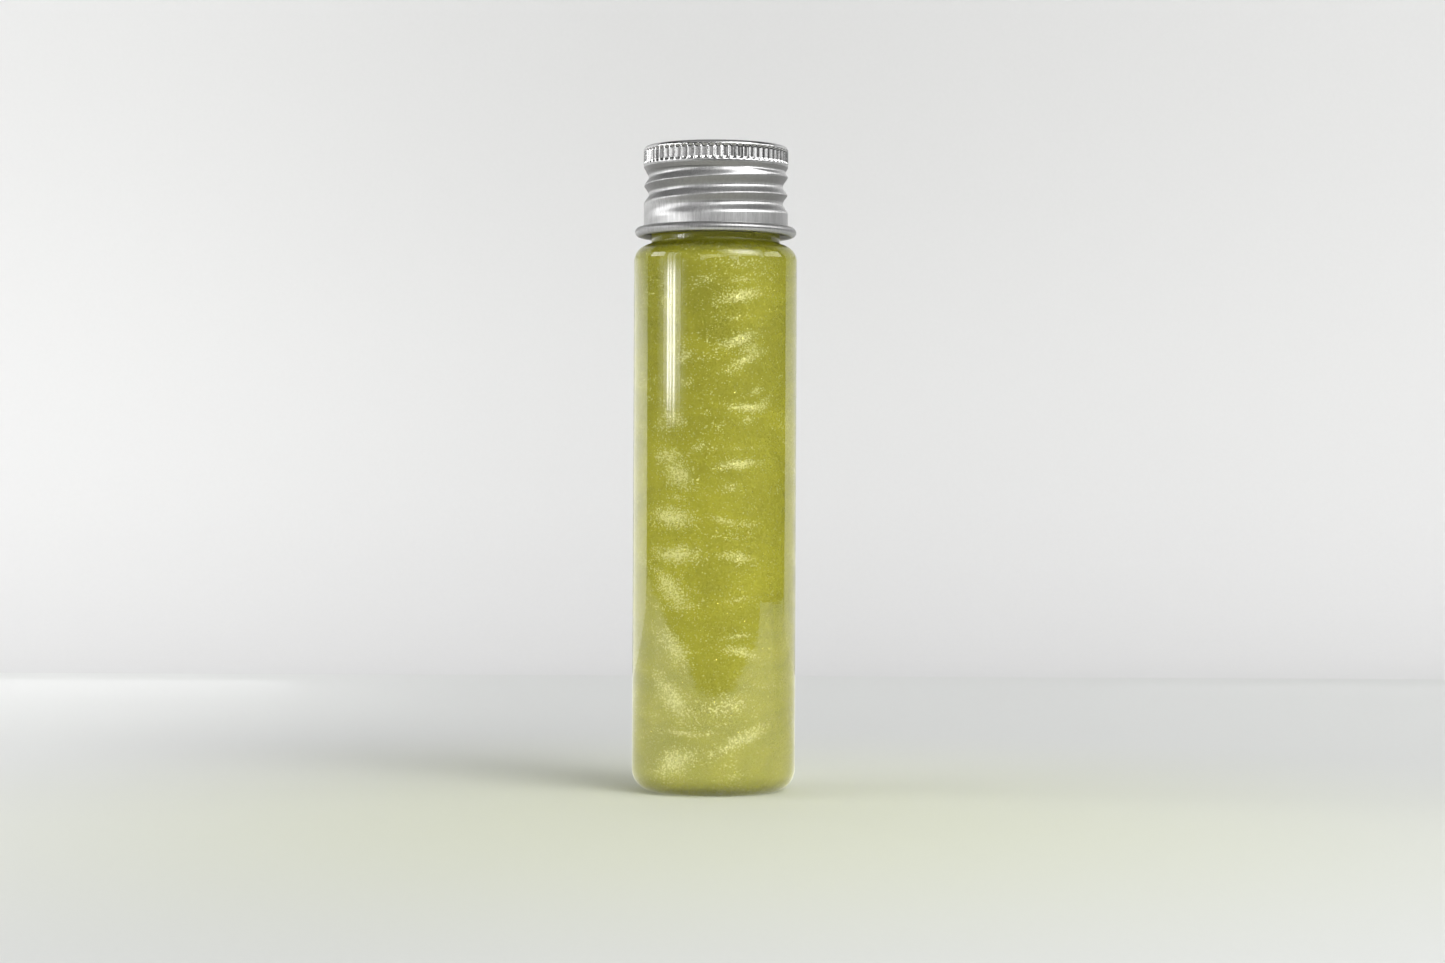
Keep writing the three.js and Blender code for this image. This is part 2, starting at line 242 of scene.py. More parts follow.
def rolled_cap_tree():
    """Presses the flutes into the rim and rolls the thread's groove into the skirt."""
    wires, given, out = group(
        "Rolled cap",
        "GeometryNodeTree",
        {
            "Geometry": ("NodeSocketGeometry", None),
            "Flutes": (INTEGER, FLUTES),
            "Flute depth": (FLOAT, FLUTE_DEPTH * MM),
            "Flute top": (FLOAT, FLUTE_TOP * MM),
            "Flute bottom": (FLOAT, FLUTE_BOTTOM * MM),
            "Flute fade": (FLOAT, FLUTE_FADE * MM),
            "Groove depth": (FLOAT, GROOVE_DEPTH * MM),
            "Groove half width": (FLOAT, GROOVE_HALF_WIDTH * MM),
            "Pitch": (FLOAT, PITCH * MM),
            "Helix height": (FLOAT, 0.0),
            "Groove start": (FLOAT, GROOVE_START),
            "Groove end": (FLOAT, GROOVE_START - FULL_TURN * GROOVE_TURNS),
            "Ring height": (FLOAT, RING_MIDDLE * MM),
            "Ring depth": (FLOAT, RING_DEPTH * MM),
            "Ring half width": (FLOAT, RING_HALF_WIDTH * MM),
            "Metal": ("NodeSocketMaterial", None),
        },
        {"Geometry": "NodeSocketGeometry"},
    )
    place = wires.add("GeometryNodeInputPosition").outputs[0]
    x, y, z = wires.split(place)
    angle = wires.sum("ARCTAN2", y, x)
    outwards = wires.vector("NORMALIZE", wires.vector("MULTIPLY", place, (1, 1, 0)))

    fade_end = wires.sum("SUBTRACT", given["Flute top"], given["Flute fade"])
    fade_start = wires.sum("ADD", given["Flute bottom"], given["Flute fade"])
    upper = wires.fade(z, fade_end, given["Flute top"], 1.0, 0.0)
    lower = wires.fade(z, given["Flute bottom"], fade_start)
    wave = wires.sum("COSINE", wires.sum("MULTIPLY", given["Flutes"], wires.sum("ADD", angle, math.pi / 2)))
    hollow = wires.sum("POWER", wires.scaled(wave, 1.0, -1.0), 0.8)
    between = wires.sum("MULTIPLY", wires.sum("MINIMUM", upper, lower), hollow)
    flute = wires.sum("MULTIPLY", between, given["Flute depth"])

    def dent(distance, half_width):
        share = wires.sum("MINIMUM", wires.sum("DIVIDE", wires.sum("ABSOLUTE", distance), half_width), 1.0)
        return wires.scaled(wires.sum("COSINE", wires.sum("MULTIPLY", share, math.pi)), -1.0, 1.0)

    ring_dent = dent(wires.sum("SUBTRACT", z, given["Ring height"]), given["Ring half width"])
    ring = wires.sum("MULTIPLY", ring_dent, given["Ring depth"])
    climb = wires.sum("MULTIPLY", wires.sum("DIVIDE", angle, FULL_TURN), given["Pitch"])
    first = wires.sum("ADD", given["Helix height"], climb)
    turns = wires.sum("DIVIDE", wires.sum("SUBTRACT", z, first), given["Pitch"])
    deepest = ring
    for above in (0, 1):
        turn = wires.sum("ADD", wires.sum("FLOOR", turns), above)
        along = wires.sum("ADD", angle, wires.sum("MULTIPLY", turn, FULL_TURN))
        full_depth = wires.sum("SUBTRACT", given["Groove start"], FULL_TURN * GROOVE_RUN_IN)
        run_in = wires.fade(along, full_depth, given["Groove start"], 1.0, 0.0)
        still_deep = wires.sum("ADD", given["Groove end"], FULL_TURN * GROOVE_RUN_OUT)
        run_out = wires.fade(along, given["Groove end"], still_deep)
        away = wires.sum("MULTIPLY", wires.sum("SUBTRACT", turns, turn), given["Pitch"])
        depth = wires.sum("MULTIPLY", wires.sum("MULTIPLY", run_in, run_out), given["Groove depth"])
        groove = wires.sum("MULTIPLY", depth, dent(away, given["Groove half width"]))
        deepest = wires.sum("MAXIMUM", deepest, groove)
    below_rim = wires.fade(z, given["Ring height"], wires.sum("ADD", given["Ring height"], 1e-4), 1.0, 0.0)
    above_rim = wires.sum("SUBTRACT", 1.0, below_rim)
    wall_dent = wires.sum("MULTIPLY", deepest, below_rim)
    rolled = wires.sum("ADD", wall_dent, wires.sum("MULTIPLY", ring, above_rim))
    inwards = wires.sum("MULTIPLY", wires.sum("ADD", flute, rolled), -1.0)
    scale = wires.add("ShaderNodeVectorMath", operation="SCALE")
    wires.feed(scale.inputs[0], outwards)
    wires.feed(scale.inputs["Scale"], inwards)
    shaped = wires.add("GeometryNodeSetPosition", {"Geometry": given["Geometry"], "Offset": scale.outputs[0]})
    real = wires.add("GeometryNodeRealizeInstances", {"Geometry": shaped.outputs[0]})
    clad = wires.add("GeometryNodeSetMaterial", {"Geometry": real.outputs[0], "Material": given["Metal"]})
    wires.feed(out["Geometry"], clad.outputs[0])
    return wires.tree


def flakes_tree():
    """Scatters mica flakes over a surface, thickest in the swirls, each tilted its own way."""
    wires, given, out = group(
        "Mica flakes",
        "GeometryNodeTree",
        {
            "Geometry": ("NodeSocketGeometry", None),
            "Most per square metre": (FLOAT, 3.2e6),
            "Share between swirls": (FLOAT, 0.12),
            "Flake size": (FLOAT, 0.1 * MM),
            "Tilt": (FLOAT, 0.3),
            "Mica": ("NodeSocketMaterial", None),
            "Seed": (INTEGER, 11),
        },
        {"Geometry": "NodeSocketGeometry"},
    )
    swirl = wires.add("GeometryNodeInputNamedAttribute", {"Name": "swirl"}, data_type="FLOAT")
    density = wires.scaled(swirl.outputs["Attribute"], 0.0, 1.0, given["Share between swirls"], 1.0)
    scatter = wires.add(
        "GeometryNodeDistributePointsOnFaces",
        {
            "Mesh": given["Geometry"],
            "Density": wires.sum("MULTIPLY", density, given["Most per square metre"]),
            "Seed": given["Seed"],
        },
    )
    flake = wires.add(
        "GeometryNodeMeshCircle",
        {"Vertices": 6, "Radius": given["Flake size"]},
        fill_type="NGON",
    )
    spread = {"Min": wires.sum("MULTIPLY", given["Tilt"], -1.0), "Max": given["Tilt"]}
    tilts = [
        wires.add("FunctionNodeRandomValue", spread | {"Seed": seed}, data_type="FLOAT").outputs["Value"]
        for seed in (1, 2)
    ]
    spin = wires.add(
        "FunctionNodeRandomValue", {"Min": 0.0, "Max": FULL_TURN, "Seed": 3}, data_type="FLOAT"
    ).outputs["Value"]
    lean = wires.add("ShaderNodeCombineXYZ", {"X": tilts[0], "Y": tilts[1], "Z": spin})
    turn = wires.add("FunctionNodeEulerToRotation", {"Euler": lean.outputs[0]})
    facing = wires.add(
        "FunctionNodeRotateRotation",
        {"Rotation": scatter.outputs["Rotation"], "Rotate By": turn.outputs[0]},
        rotation_space="LOCAL",
    )
    size = wires.add("FunctionNodeRandomValue", {"Min": 0.5, "Max": 1.15, "Seed": 4}, data_type="FLOAT")
    placed = wires.add(
        "GeometryNodeInstanceOnPoints",
        {
            "Points": scatter.outputs["Points"],
            "Instance": flake.outputs["Mesh"],
            "Rotation": facing.outputs[0],
            "Scale": size.outputs["Value"],
        },
    )
    real = wires.add("GeometryNodeRealizeInstances", {"Geometry": placed.outputs[0]})
    clad = wires.add("GeometryNodeSetMaterial", {"Geometry": real.outputs[0], "Material": given["Mica"]})
    wires.feed(out["Geometry"], clad.outputs[0])
    return wires.tree


def made_by(tree, name, start, **values):
    """A plain mesh object, made by running a geometry node tree on a start object with these input values."""
    modifier = start.modifiers.new(tree.name, "NODES")
    modifier.node_group = tree
    sockets = {item.name: item.identifier for item in tree.interface.items_tree if item.in_out == "INPUT"}
    for label, value in values.items():
        modifier[sockets[label.replace("_", " ")]] = value
    bpy.context.view_layer.update()
    evaluated = start.evaluated_get(bpy.context.evaluated_depsgraph_get())
    mesh = bpy.data.meshes.new_from_object(evaluated)
    mesh.name = name
    start.modifiers.remove(modifier)
    made = bpy.data.objects.new(name, mesh)
    bpy.context.scene.collection.objects.link(made)
    return made


# ---- Effects that several materials share ----


def smudges_group():
    """Finger marks: a soft patchy mask."""
    wires, given, out = group(
        "Handling marks",
        "ShaderNodeTree",
        {"Vector": (VECTOR, None), "Patch size": (FLOAT, 6.0), "Cover": (FLOAT, 0.4)},
        {"Marks": FLOAT},
    )
    patch = wires.sum("DIVIDE", 1 / MM, given["Patch size"])
    wide = wires.noise(given["Vector"], patch, 4.0, 0.6, 0.4)
    fine = wires.noise(given["Vector"], wires.sum("MULTIPLY", patch, 14.0), 2.0, 0.7)
    edge = wires.sum("SUBTRACT", 1.0, given["Cover"])
    marks = wires.fade(wide, edge, wires.sum("ADD", edge, 0.25))
    wires.feed(out["Marks"], wires.sum("MULTIPLY", marks, wires.scaled(fine, 0.3, 0.7, 0.4, 1.0)))
    return wires.tree


def grain_group():
    """Fine lines along one direction, as drawing or rolling leaves them."""
    wires, given, out = group(
        "Drawn grain",
        "ShaderNodeTree",
        {"Vector": (VECTOR, None), "Stretch": (VECTOR, (1, 1, 0.05)), "Line width": (FLOAT, 0.08)},
        {"Lines": FLOAT},
    )
    lines_along = wires.vector("MULTIPLY", given["Vector"], given["Stretch"])
    scale = wires.sum("DIVIDE", 1 / MM, given["Line width"])
    coarse = wires.noise(lines_along, wires.sum("MULTIPLY", scale, 0.3), 2.0)
    fine = wires.noise(lines_along, scale, 3.0, 0.65)
    lines = wires.sum("ADD", wires.sum("MULTIPLY", coarse, 0.4), wires.sum("MULTIPLY", fine, 0.6))
    wires.feed(out["Lines"], lines)
    return wires.tree


HANDLING, GRAIN = smudges_group(), grain_group()


def effect(wires, tree, **values):
    node = wires.add("ShaderNodeGroup", node_tree=tree)
    for label, value in values.items():
        wires.feed(node.inputs[label.replace("_", " ")], value)
    return node.outputs


def material(name):
    """A new material: its wiring, its Principled shader and its object coordinates."""
    made = bpy.data.materials.new(name)
    made.use_nodes = True
    wires = Wiring(made.node_tree)
    made.node_tree.nodes.clear()
    surface = wires.add("ShaderNodeBsdfPrincipled")
    output = wires.add("ShaderNodeOutputMaterial", {"Surface": surface.outputs[0]})
    place = wires.add("ShaderNodeTexCoord").outputs["Object"]
    return made, wires, surface, output, place


def bump(wires, height, distance, strength=1.0):
    return wires.add(
        "ShaderNodeBump", {"Height": height, "Distance": distance, "Strength": strength}
    ).outputs["Normal"]


def grey(value, warmth=0.0):
    return (value * (1 + warmth), value, value * (1 - warmth), 1)


# ---- Materials ----


def clear_glass():
    """Drawn glass tube. Light passes through it to what is inside."""
    made, wires, surface, output, place = material("Clear drawn glass")
    marks = effect(wires, HANDLING, Vector=place, Patch_size=9.0, Cover=0.42)
    lines = effect(wires, GRAIN, Vector=place, Stretch=(1, 1, 0.03), Line_width=0.9)["Lines"]
    clean, smeared = (0.985, 1.0, 0.985, 1), (0.97, 0.985, 0.965, 1)
    wires.feed(surface.inputs["Base Color"], wires.blend(marks["Marks"], clean, smeared))
    wires.feed(surface.inputs["Roughness"], wires.scaled(marks["Marks"], 0.0, 1.0, 0.004, 0.05))
    ripples = wires.noise(wires.vector("MULTIPLY", place, (0.1, 0.1, 1)), 650.0, 2.0)
    drawn = wires.sum("ADD", wires.sum("MULTIPLY", lines, 0.25), wires.sum("MULTIPLY", ripples, 0.75))
    wires.feed(surface.inputs["Normal"], bump(wires, drawn, 0.006 * MM, 1.0))
    surface.inputs["IOR"].default_value = 1.5
    surface.inputs["Transmission Weight"].default_value = 1.0
    lamp_light = wires.add("ShaderNodeBsdfTransparent", {"Color": (0.96, 0.975, 0.95, 1)})
    shadow_ray = wires.add("ShaderNodeLightPath").outputs["Is Shadow Ray"]
    either = wires.add(
        "ShaderNodeMixShader", {0: shadow_ray, 1: surface.outputs[0], 2: lamp_light.outputs[0]}
    )
    wires.feed(output.inputs["Surface"], either.outputs[0])
    return made


OLIVE = (0.425, 0.402, 0.022, 1)
DEEP_OLIVE = (0.310, 0.300, 0.014, 1)
# Pale mica, which also paints the sheen of flakes that catch the light.
PALE_MICA_AND_PAINTED_SHEEN = (0.86, 0.835, 0.36, 1)


def flake_tilts(wires, place, flakes_per_metre, lean):
    """A surface normal that leans its own way in each flake, and each flake's three random numbers."""
    own = wires.add("ShaderNodeTexVoronoi", {"Vector": place, "Scale": flakes_per_metre}).outputs["Color"]
    aside = wires.vector("MULTIPLY", wires.vector("SUBTRACT", own, (0.5, 0.5, 0.5)), (lean, lean, lean))
    straight = wires.add("ShaderNodeNewGeometry").outputs["Normal"]
    return wires.vector("NORMALIZE", wires.vector("ADD", straight, aside)), wires.split(own)


def pearly_liquid():
    """Yellow-green liquid crowded with mica, most of all in the swirls; each flake leans its own way. Its
    colour is paler in the swirls and in scattered flakes, the mica's own colour with a painted sheen and
    painted glints, and paler towards the bottom, painted light.
    """
    made, wires, surface, _, place = material("Pearly liquid")
    swirl = wires.add("ShaderNodeAttribute", attribute_name="swirl").outputs["Fac"]
    clouds = wires.noise(wires.vector("MULTIPLY", place, (1, 1, 2.2)), 60.0, 4.0, 0.55, 0.6)
    # Painted light: the liquid's colour grows paler towards the bottom.
    painted_lower_light = wires.fade(wires.split(place)[2], 97 * MM, 55 * MM, 0.0, 0.45)
    paler = wires.sum("ADD", wires.fade(clouds, 0.36, 0.64, 0.0, 0.6), painted_lower_light)
    olive = wires.blend(paler, DEEP_OLIVE, OLIVE)
    normal, chances = flake_tilts(wires, place, 4600.0, 0.62)
    faint = wires.noise(wires.vector("MULTIPLY", place, (1, 1, 2.6)), 105.0, 4.0, 0.6, 0.6)
    present = wires.sum("MAXIMUM", swirl, wires.fade(faint, 0.50, 0.76, 0.0, 0.35))
    crowd = wires.scaled(present, 0.0, 1.0, 0.10, 0.78)
    # The colour is paler where flakes crowd and in scattered flakes: the mica's own pale colour, with a
    # painted sheen and painted glints of flakes catching the light.
    lit = wires.fade(chances[0], wires.sum("SUBTRACT", 1.0, crowd), wires.sum("SUBTRACT", 1.2, crowd))
    pooled_mica_and_painted_sheen = wires.sum("MULTIPLY", wires.sum("POWER", swirl, 1.6), 0.33)
    soft = wires.sum("ADD", wires.sum("MULTIPLY", lit, 0.5), pooled_mica_and_painted_sheen, clamp=True)
    wires.feed(surface.inputs["Base Color"], wires.blend(soft, olive, PALE_MICA_AND_PAINTED_SHEEN))
    wires.feed(surface.inputs["Roughness"], wires.scaled(soft, 0.0, 1.0, 0.42, 0.30))
    wires.feed(surface.inputs["Metallic"], wires.scaled(soft, 0.0, 1.0, 0.22, 0.4))
    waves = wires.noise(wires.vector("MULTIPLY", place, (1, 1, 2.5)), 150.0, 3.0, 0.55, 0.6)
    rolling = wires.add(
        "ShaderNodeBump", {"Height": waves, "Distance": 0.12 * MM, "Strength": 0.22, "Normal": normal}
    )
    wires.feed(surface.inputs["Normal"], rolling.outputs["Normal"])
    return made


def mica():
    """Single flakes, bright as foil, that flash where they face a light."""
    made, wires, surface, _, place = material("Mica flake")
    tone = wires.noise(place, 900.0, 2.0)
    wires.feed(surface.inputs["Base Color"], wires.blend(tone, (0.62, 0.58, 0.16, 1), (0.86, 0.83, 0.42, 1)))
    wires.feed(surface.inputs["Roughness"], wires.scaled(tone, 0.3, 0.7, 0.2, 0.34))
    surface.inputs["Metallic"].default_value = 0.9
    return made


def satin_aluminium():
    """Lacquered aluminium sheet: draw lines on the wall, rolling lines on the top, a burnish on the flute
    crests that is partly a painted highlight, and painted shade on faces that point down, on the hem below
    its top and in the flute valleys.
    """
    made, wires, surface, _, place = material("Satin aluminium")
    x, y, z = wires.split(place)
    on_top = wires.fade(z, (CAP_TOP - 0.25) * MM, (CAP_TOP - 0.02) * MM)
    on_flutes = wires.sum(
        "MULTIPLY",
        wires.fade(z, (FLUTE_BOTTOM - 0.1) * MM, (FLUTE_BOTTOM + 0.2) * MM),
        wires.sum("SUBTRACT", 1.0, on_top),
    )
    radius = wires.vector("LENGTH", wires.vector("MULTIPLY", place, (1, 1, 0)))
    crest = wires.fade(radius, (RIM_RADIUS - 0.3) * MM, (RIM_RADIUS - 0.02) * MM)
    drawn = effect(wires, GRAIN, Vector=place, Stretch=(1, 1, 0.06), Line_width=0.12)["Lines"]
    rolled = effect(wires, GRAIN, Vector=place, Stretch=(0.03, 1, 1), Line_width=0.12)["Lines"]
    lines = wires.add(
        "ShaderNodeMix", {0: on_top, 2: drawn, 3: rolled}, data_type="FLOAT"
    ).outputs[0]
    marks = effect(wires, HANDLING, Vector=place, Patch_size=5.0, Cover=0.38)
    speck = wires.noise(place, 5000.0, 2.0, 0.7)
    dark, light = grey(0.36, 0.004), grey(0.49, 0.002)
    tone = wires.blend(wires.fade(lines, 0.38, 0.62), dark, light)
    # The flute crests are burnished, and their paler colour is also a painted highlight.
    burnish_and_painted_highlight = wires.blend(wires.sum("MULTIPLY", on_flutes, crest), tone, grey(0.66, 0.002))
    # Painted shade: the flute valleys are darkened.
    painted_valley_shade = wires.fade(radius, (RIM_RADIUS - 0.42) * MM, (RIM_RADIUS - 0.30) * MM, 0.55, 0.0)
    fluted = wires.blend(wires.sum("MULTIPLY", on_flutes, painted_valley_shade), burnish_and_painted_highlight, grey(0.10, 0.02))
    handled = wires.blend(wires.sum("MULTIPLY", marks["Marks"], 0.25), fluted, grey(0.38))
    # Painted shade: faces that point down, above the hem, are darkened.
    underside = wires.fade(wires.split(wires.add("ShaderNodeNewGeometry").outputs["Normal"])[2], -0.02, -0.42)
    over_hem = wires.fade(z, BEAD_MIDDLE[1] * MM, (BEAD_MIDDLE[1] + 1.4) * MM)
    painted_underside_shade = wires.sum("MULTIPLY", wires.sum("MULTIPLY", underside, over_hem), 0.78)
    # Painted shade: the hem is darkened below its top.
    painted_hem_shade = wires.fade(z, (BEAD_MIDDLE[1] + 0.75) * MM, (BEAD_MIDDLE[1] + 0.1) * MM, 0.0, 0.45)
    shaded = wires.blend(wires.sum("MAXIMUM", painted_underside_shade, painted_hem_shade), handled, grey(0.075, 0.02))
    wires.feed(surface.inputs["Base Color"], shaded)
    speckled = wires.scaled(speck, 0.3, 0.7, -0.03, 0.04)
    satin = wires.sum("ADD", wires.scaled(lines, 0.3, 0.7, 0.36, 0.43), speckled)
    worked = wires.sum("SUBTRACT", satin, wires.sum("MULTIPLY", on_flutes, 0.22))
    dulled = wires.sum("MULTIPLY", marks["Marks"], 0.06)
    wires.feed(surface.inputs["Roughness"], wires.sum("ADD", worked, dulled))
    relief = wires.sum("ADD", wires.sum("MULTIPLY", lines, 0.5), wires.sum("MULTIPLY", speck, 0.5))
    wires.feed(surface.inputs["Normal"], bump(wires, relief, 0.006 * MM, 0.5))
    surface.inputs["Metallic"].default_value = 1.0
    surface.inputs["Anisotropic"].default_value = 0.7
    round_axis = wires.add("ShaderNodeTangent", direction_type="RADIAL", axis="Z")
    wires.feed(surface.inputs["Tangent"], round_axis.outputs[0])
    return made


def foam():
    """Closed-cell foam: tiny round cells, slightly yellowed."""
    made, wires, surface, _, place = material("White foam")
    cells = wires.add("ShaderNodeTexVoronoi", {"Vector": place, "Scale": 4200.0}).outputs["Distance"]
    patches = wires.noise(place, 260.0, 3.0)
    tone = wires.blend(patches, (0.80, 0.79, 0.74, 1), (0.86, 0.85, 0.81, 1))
    shaded = wires.blend(wires.fade(cells, 0.5, 0.1), tone, (0.70, 0.69, 0.64, 1))
    wires.feed(surface.inputs["Base Color"], shaded)
    wires.feed(surface.inputs["Roughness"], wires.scaled(patches, 0.3, 0.7, 0.78, 0.92))
    wires.feed(surface.inputs["Normal"], bump(wires, cells, 0.06 * MM, 0.6))
    return made


def film():
    """Thin satin plastic film, slightly wrinkled where the lip presses."""
    made, wires, surface, _, place = material("Liner film")
    ripples = wires.noise(place, 700.0, 3.0, 0.5, 0.8)
    marks = effect(wires, HANDLING, Vector=place, Patch_size=4.0, Cover=0.4)
    tone = wires.blend(marks["Marks"], (0.86, 0.86, 0.83, 1), (0.78, 0.78, 0.72, 1))
    wires.feed(surface.inputs["Base Color"], tone)
    wires.feed(surface.inputs["Roughness"], wires.scaled(ripples, 0.3, 0.7, 0.22, 0.36))
    wires.feed(surface.inputs["Normal"], bump(wires, ripples, 0.03 * MM, 0.4))
    return made


# ---- Pieces ----


def finish_piece(made, body, finish, node=None):
    """Gives a piece its finish and its place in the frame."""
    made.data.materials.clear()
    made.data.materials.append(finish)
    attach(made, body)
    if node:
        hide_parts(node)
    return made


def ridge_height(angle):
    return THREAD_TOP + PITCH * (angle - THREAD_START) / FULL_TURN


def on_thread(angle, r, z):
    """Raises the glass thread from the outside of the neck."""
    if r < NECK_RADIUS - 0.01 or z < SHOULDER_TOP + 1:
        return r, z
    rise = 0.0
    for turn in range(-2, 3):
        along = angle + FULL_TURN * turn
        from_end = min(THREAD_START - along, along - THREAD_START + FULL_TURN * THREAD_TURNS)
        if from_end > 0:
            away = abs(z - ridge_height(along)) / THREAD_HALF_WIDTH
            rise = max(rise, smooth(from_end / THREAD_RUN_OUT) * smooth(THREAD_STEEPNESS * (1 - away)))
    return r + THREAD_RISE * rise, z


def glass_vial():
    fillet_end = (NECK_RADIUS, SHOULDER_TOP + ROOT_FILLET)
    profile = [
        (0, PUSH_UP),
        *stepped((PUSH_UP_RADIUS * 0.3, PUSH_UP * 0.98), (PUSH_UP_RADIUS * 0.55, PUSH_UP * 0.86), 1.0),
        (PUSH_UP_RADIUS * 0.8, PUSH_UP * 0.48),
        (PUSH_UP_RADIUS * 0.95, PUSH_UP * 0.12),
        (PUSH_UP_RADIUS, 0.01),
        (PUSH_UP_RADIUS + 0.8, 0),
        *arc(VIAL_RADIUS - HEEL_RADIUS, HEEL_RADIUS, HEEL_RADIUS, -90, 0, 16),
        *stepped((VIAL_RADIUS, HEEL_RADIUS), (VIAL_RADIUS, BODY_TOP), 4.0)[1:-1],
        *arc(VIAL_RADIUS - SHOULDER_RADIUS, BODY_TOP, SHOULDER_RADIUS, 0, 82, 16),
        *arc(NECK_RADIUS + ROOT_FILLET, SHOULDER_TOP + ROOT_FILLET, ROOT_FILLET, -98, -180, 6),
        *stepped(fillet_end, (NECK_RADIUS, LIP - LIP_RADIUS), 0.14)[1:-1],
        *arc(NECK_RADIUS - LIP_RADIUS, LIP - LIP_RADIUS, LIP_RADIUS, 0, 90, 8),
        *arc(NECK_BORE + LIP_RADIUS / 2, LIP - LIP_RADIUS / 2, LIP_RADIUS / 2, 90, 180, 6),
        *arc(NECK_BORE + 0.5, SHOULDER_TOP - WALL + 0.9, 0.5, 180, 262, 6),
        *arc(INNER_RADIUS - INNER_SHOULDER, BODY_TOP, INNER_SHOULDER, 82, 0, 10),
        *arc(INNER_RADIUS - INNER_HEEL, FLOOR + INNER_HEEL, INNER_HEEL, 0, -90, 10),
        (0, FLOOR),
    ]
    made = turned("glass_vial", profile, 192, on_thread)
    return finish_piece(made, "vial", clear_glass(), "glass_vial")


# Swirls of mica that face the front, where flakes crowd and the liquid's colour is painted paler as a painted
# sheen: the degrees round from the front and the height of each one's middle, its half length and half width
# in millimetres, the degrees it rises to the right, how much it bends up, and how crowded it is.
SWIRLS = [
    (18, 96.0, 4.5, 1.0, 0, 0.00, 0.35),
    (22, 93.2, 2.5, 0.5, 0, 0.00, 0.50),
    (19, 90.0, 4.4, 0.9, 12, 0.00, 1.00),
    (17, 86.2, 3.0, 0.4, 2, 0.00, 0.40),
    (19, 82.3, 4.2, 0.9, 16, 0.00, 1.00),
    (27, 80.8, 2.0, 1.5, 0, 0.00, 0.60),
    (25, 78.6, 4.0, 0.9, 28, 0.00, 0.85),
    (12, 77.0, 3.0, 0.9, 10, 0.00, 0.40),
    (33, 73.0, 2.2, 0.6, 8, 0.00, 0.50),
    (27, 70.0, 4.3, 0.9, 7, 0.04, 1.00),
    (25, 67.8, 2.0, 0.6, 5, 0.00, 0.40),
    (10, 62.8, 4.0, 0.5, 0, 0.00, 0.30),
    (19, 59.9, 4.3, 0.7, 6, 0.00, 1.00),
    (13, 55.6, 2.2, 0.9, 0, 0.00, 0.45),
    (8, 49.6, 3.2, 0.6, -20, 0.00, 0.70),
    (27, 49.0, 2.6, 0.6, 0, 0.00, 0.45),
    (19, 43.1, 3.6, 0.8, -4, 0.00, 0.80),
    (20, 35.6, 3.0, 0.6, 0, 0.00, 0.40),
    (20, 28.9, 2.8, 0.5, 3, 0.00, 0.70),
    (20, 26.1, 3.4, 0.7, -17, 0.00, 0.85),
    (8, 16.6, 4.2, 1.5, 6, 0.00, 0.60),
    (20, 10.2, 6.2, 1.0, 28, 0.00, 0.85),
    (-9, 93.0, 2.6, 1.0, 12, 0.00, 0.45),
    (-36, 89.0, 2.2, 3.2, 0, 0.00, 0.40),
    (-21, 79.2, 1.9, 0.9, 28, 0.00, 0.65),
    (-21, 74.8, 1.8, 0.9, -20, 0.00, 0.45),
    (-32, 68.0, 2.6, 1.8, 0, 0.00, 0.60),
    (-41, 66.5, 2.9, 1.5, 0, 0.00, 0.40),
    (-12, 62.8, 2.0, 0.7, 20, 0.00, 0.50),
    (-36, 61.2, 3.0, 1.4, -8, 0.00, 0.70),
    (-28, 58.2, 3.6, 1.9, -35, 0.00, 0.95),
    (-30, 53.6, 3.0, 0.6, 0, 0.00, 0.45),
    (-33, 50.4, 4.2, 1.6, -8, 0.00, 1.00),
    (-29, 43.6, 4.9, 1.4, 0, 0.00, 1.00),
    (-34, 37.4, 4.6, 1.9, -45, 0.00, 0.90),
    (-27, 33.8, 3.8, 0.6, 0, 0.05, 0.70),
    (-31, 27.0, 4.4, 1.7, -50, 0.00, 0.75),
    (-32, 17.8, 5.2, 1.8, -48, 0.00, 0.90),
    (-22, 11.6, 4.8, 0.45, 0, 0.00, 0.75),
    (-30, 6.2, 4.4, 2.0, 22, 0.00, 0.95),
]
# The same flow seen from other sides: how far each copy is turned, in degrees, and raised.
SWIRL_COPIES = [(0, 0), (128, -8), (-120, 5)]
# How far each copy reaches round, in radians; how far in from the side and above the body the swirls fade,
# and how far they wander from their line round the side and upwards, in millimetres.
SWIRL_REACH, SWIRL_FADE = 1.3, 3
WANDER_ROUND, WANDER_UP = 1.0, 0.5


def swirl_at(round_the_side, height):
    """How crowded the mica is at a point of the surface, from 0 to 1."""
    place = Vector((round_the_side * 0.22, height * 0.4, 0.0))
    across = round_the_side + WANDER_ROUND * noise.noise(place)
    up = height + WANDER_UP * noise.noise(place + Vector((7.3, 2.1, 5.0)))
    most = 0.0
    for middle, level, length, width, rise, bend, crowd in SWIRLS:
        dx, dy = across - math.radians(middle) * INNER_RADIUS, up - level
        if abs(dx) > 1.6 * length + 2 or abs(dy) > length + 3:
            continue
        lean = math.radians(rise)
        along = dx * math.cos(lean) + dy * math.sin(lean)
        aside = dy * math.cos(lean) - dx * math.sin(lean) - bend * along * along
        most = max(most, crowd * math.exp(-((along / length) ** 2) * 1.3 - (aside / width) ** 2 * 0.9))
    return most


